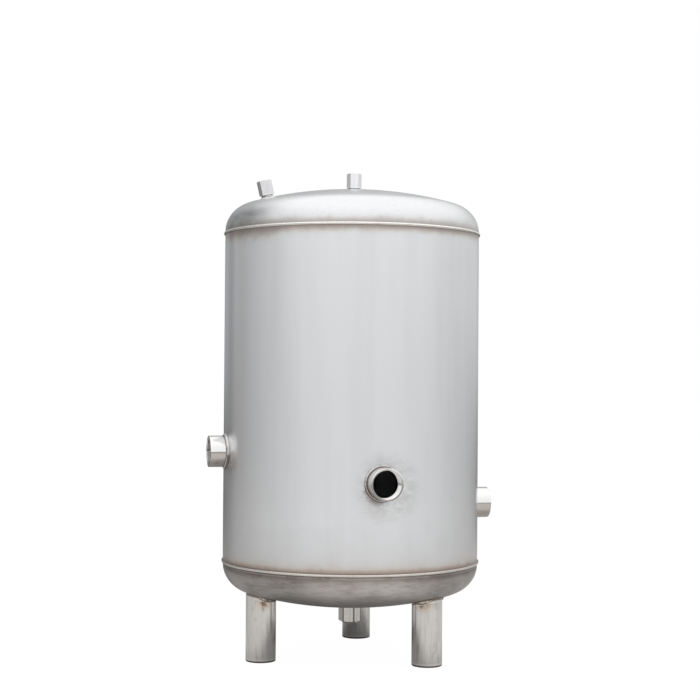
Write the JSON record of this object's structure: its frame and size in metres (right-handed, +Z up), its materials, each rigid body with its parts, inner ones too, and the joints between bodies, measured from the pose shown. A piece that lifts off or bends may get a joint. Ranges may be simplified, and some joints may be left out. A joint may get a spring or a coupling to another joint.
{
  "type": "water pressure tank",
  "caption": "Upright cylindrical stainless steel water pressure tank with dished ends, screwed pipe sockets, a bottom drain and tubular legs.",
  "frame": {"origin": "on the floor at the middle of the tank's outline; the vessel's own axis stands 16.3 mm behind it, because the front socket alone reaches out along Y", "axes": "+Z up along the vessel's axis, -Y towards the front socket, +X towards the right-hand socket"},
  "size_m": [0.621, 0.5883, 1.0398],
  "materials": {
    "shell_steel": "satin, lightly ground near the sockets",
    "dome_steel": "smooth bright satin",
    "base_steel": "dull pickled satin",
    "socket_steel": "turned bar",
    "hexagon_steel": "drawn hexagon bar",
    "leg_steel": "mill-finish tube with handling streaks",
    "weld_metal": "bright rippled weld",
    "tinted_weld": "brown heat-tinted weld"
  },
  "bodies": {
    "root": {"shell": "shell_steel", "top_head": "dome_steel", "bottom_head": "base_steel", "top_girth_weld": "weld_metal", "bottom_girth_weld": "weld_metal", "shell_seam_weld": "weld_metal", "left_socket": "socket_steel", "left_socket_weld": "weld_metal", "front_socket": "socket_steel", "front_socket_weld": "weld_metal", "right_socket": "socket_steel", "right_socket_weld": "weld_metal", "top_coupling": "hexagon_steel", "top_coupling_weld": "weld_metal", "side_coupling": "hexagon_steel", "side_coupling_weld": "weld_metal", "drain_coupling": "hexagon_steel", "drain_coupling_weld": "weld_metal", "left_leg": "leg_steel", "left_foot": "leg_steel", "right_leg": "leg_steel", "right_foot": "leg_steel", "back_leg": "leg_steel", "back_foot": "leg_steel", "left_leg_front_weld": "tinted_weld", "left_leg_rear_weld": "tinted_weld", "right_leg_front_weld": "tinted_weld", "right_leg_rear_weld": "tinted_weld", "back_leg_left_weld": "tinted_weld", "back_leg_right_weld": "tinted_weld"}
  },
  "joints": []
}
